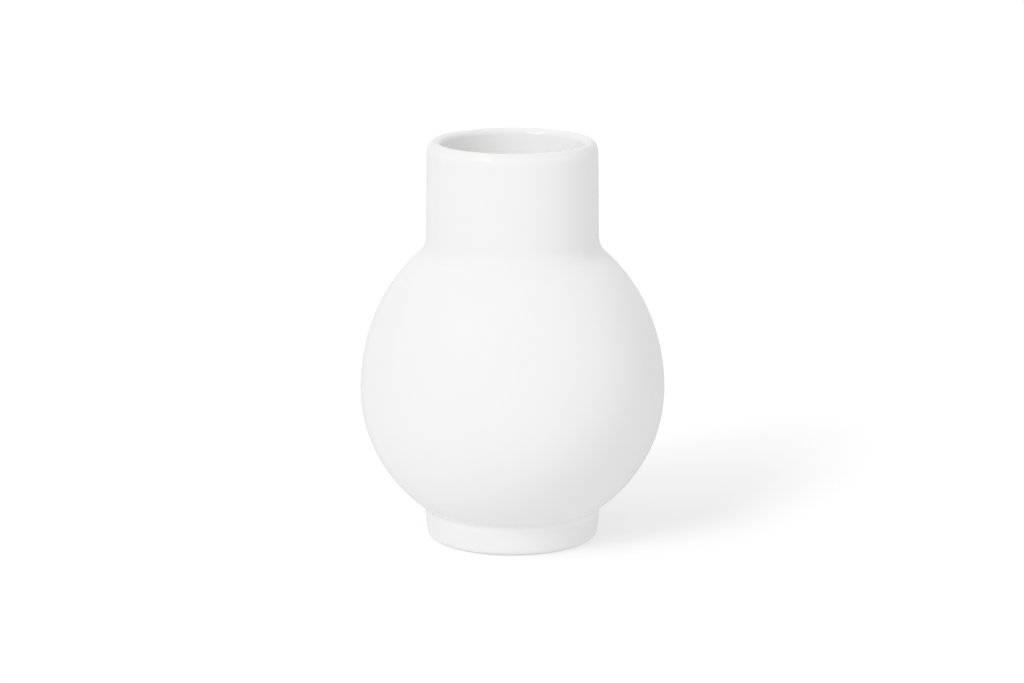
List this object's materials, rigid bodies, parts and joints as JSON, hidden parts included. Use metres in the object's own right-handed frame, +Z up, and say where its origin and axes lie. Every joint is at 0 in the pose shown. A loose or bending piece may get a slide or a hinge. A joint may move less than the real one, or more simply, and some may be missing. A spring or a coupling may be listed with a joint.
{
  "type": "ball vase",
  "caption": "Ball-shaped ceramic flower vase with a straight round-lipped neck and a short foot ring, hollow for water and stems.",
  "frame": {"origin": "on the table, at the centre of the foot ring's resting face", "axes": "+Z up along the axis that the vase is turned on, out through the mouth; X and Y lie on the table, and the vase is alike all round"},
  "size_m": [0.1286, 0.1286, 0.17],
  "materials": {
    "white_glaze": "gloss",
    "fired_slip": "matte"
  },
  "bodies": {
    "root": {"neck_collar": "white_glaze", "upper_bowl": "white_glaze", "lower_bowl": "white_glaze", "foot_ring": "white_glaze", "neck_slip_ring": "fired_slip", "belly_slip_ring": "fired_slip", "foot_slip_ring": "fired_slip"}
  },
  "joints": []
}
